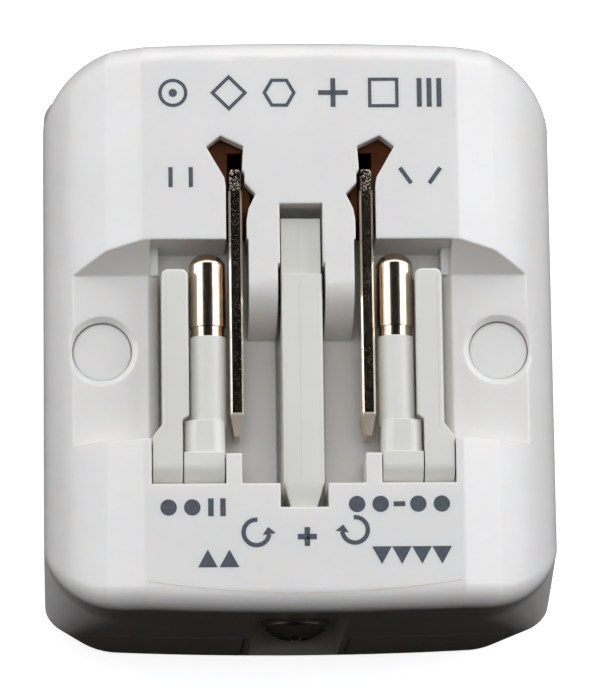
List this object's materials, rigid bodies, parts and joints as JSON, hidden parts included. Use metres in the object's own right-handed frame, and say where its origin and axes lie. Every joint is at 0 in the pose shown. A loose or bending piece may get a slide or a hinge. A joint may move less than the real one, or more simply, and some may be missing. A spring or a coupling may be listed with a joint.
{
  "type": "travel adapter",
  "caption": "White universal travel adapter with folding round and flat plug pins, a fold-up moulded earth pin and a shuttered multi-standard socket face.",
  "frame": {"origin": "middle of the socket face, which the adapter lies on", "axes": "+X across the adapter, +Y along its length towards the flat blades' hinges, +Z out of the plug face"},
  "size_m": [0.052, 0.0584, 0.036],
  "materials": {
    "casing_white": "gloss moulded, soft sheen",
    "pin_plastic": "satin moulded",
    "shutter_plastic": "satin moulded",
    "carrier_plastic": "brown phenolic, moulded",
    "blade_metal": "nickel plate over brass",
    "pin_metal": "nickel plate over brass",
    "stem_metal": "nickel plate over brass",
    "screw_steel": "zinc plate",
    "screw_nickel": "nickel plate",
    "spring_steel": "drawn wire",
    "contact_brass": "stamped",
    "contact_bronze": "stamped and bent strip"
  },
  "bodies": {
    "casing": {"plug_casing": "casing_white", "socket_casing": "casing_white", "contact_carrier": "carrier_plastic", "carrier_cover": "carrier_plastic", "carrier_screws": "screw_steel", "casing_screws": "screw_steel", "end_screw": "screw_nickel", "earth_axle": "screw_steel", "contact_rivets": "contact_brass", "left_screw_cap": "casing_white", "left_blade_stem": "stem_metal", "left_blade_pivot": "screw_steel", "left_stem_washer": "screw_steel", "left_pin_axle": "screw_steel", "left_pin_contact": "contact_bronze", "left_busbar": "contact_brass", "left_socket_contact": "contact_bronze", "left_shutter_spring": "spring_steel", "right_screw_cap": "casing_white", "right_blade_stem": "stem_metal", "right_blade_pivot": "screw_steel", "right_stem_washer": "screw_steel", "right_pin_axle": "screw_steel", "right_pin_contact": "contact_bronze", "right_busbar": "contact_brass", "right_socket_contact": "contact_bronze", "right_shutter_spring": "spring_steel"},
    "left_blade": {"left_flat_blade": "blade_metal"},
    "left_pin": {"left_round_pin": "pin_metal", "left_pin_sleeve": "pin_plastic"},
    "left_guide": {"left_guide_bar": "pin_plastic"},
    "right_blade": {"right_flat_blade": "blade_metal"},
    "right_pin": {"right_round_pin": "pin_metal", "right_pin_sleeve": "pin_plastic"},
    "right_guide": {"right_guide_bar": "pin_plastic"},
    "earth": {"earth_pin": "pin_plastic"},
    "shutter_plate": {"shutter": "shutter_plastic"}
  },
  "joints": [
    {"name": "left_blade_fold", "type": "hinge", "parent": "casing", "child": "left_blade", "pos_m": [-0.0066, 0.0121, 0.03], "axis": [-1, 0, 0], "range_deg": [0, 90]},
    {"name": "left_pin_fold", "type": "hinge", "parent": "casing", "child": "left_pin", "pos_m": [-0.00945, -0.01435, 0.0337], "axis": [1, 0, 0], "range_deg": [0, 90]},
    {"name": "left_guide_fold", "type": "hinge", "parent": "casing", "child": "left_guide", "pos_m": [-0.013, -0.01435, 0.0337], "axis": [1, 0, 0], "range_deg": [0, 90]},
    {"name": "right_blade_fold", "type": "hinge", "parent": "casing", "child": "right_blade", "pos_m": [0.0066, 0.0121, 0.03], "axis": [-1, 0, 0], "range_deg": [0, 90]},
    {"name": "right_pin_fold", "type": "hinge", "parent": "casing", "child": "right_pin", "pos_m": [0.00945, -0.01435, 0.0337], "axis": [1, 0, 0], "range_deg": [0, 90]},
    {"name": "right_guide_fold", "type": "hinge", "parent": "casing", "child": "right_guide", "pos_m": [0.013, -0.01435, 0.0337], "axis": [1, 0, 0], "range_deg": [0, 90]},
    {"name": "earth_fold", "type": "hinge", "parent": "casing", "child": "earth", "pos_m": [0, 0.0079, 0.0317], "axis": [-1, 0, 0], "range_deg": [0, 90]},
    {"name": "shutter_slide", "type": "slide", "parent": "casing", "child": "shutter_plate", "axis": [0, 1, 0], "range_m": [0, 0.0086], "stiffness_N_per_m": 60, "springref_m": -0.003, "deforming": ["left_shutter_spring", "right_shutter_spring"]}
  ]
}
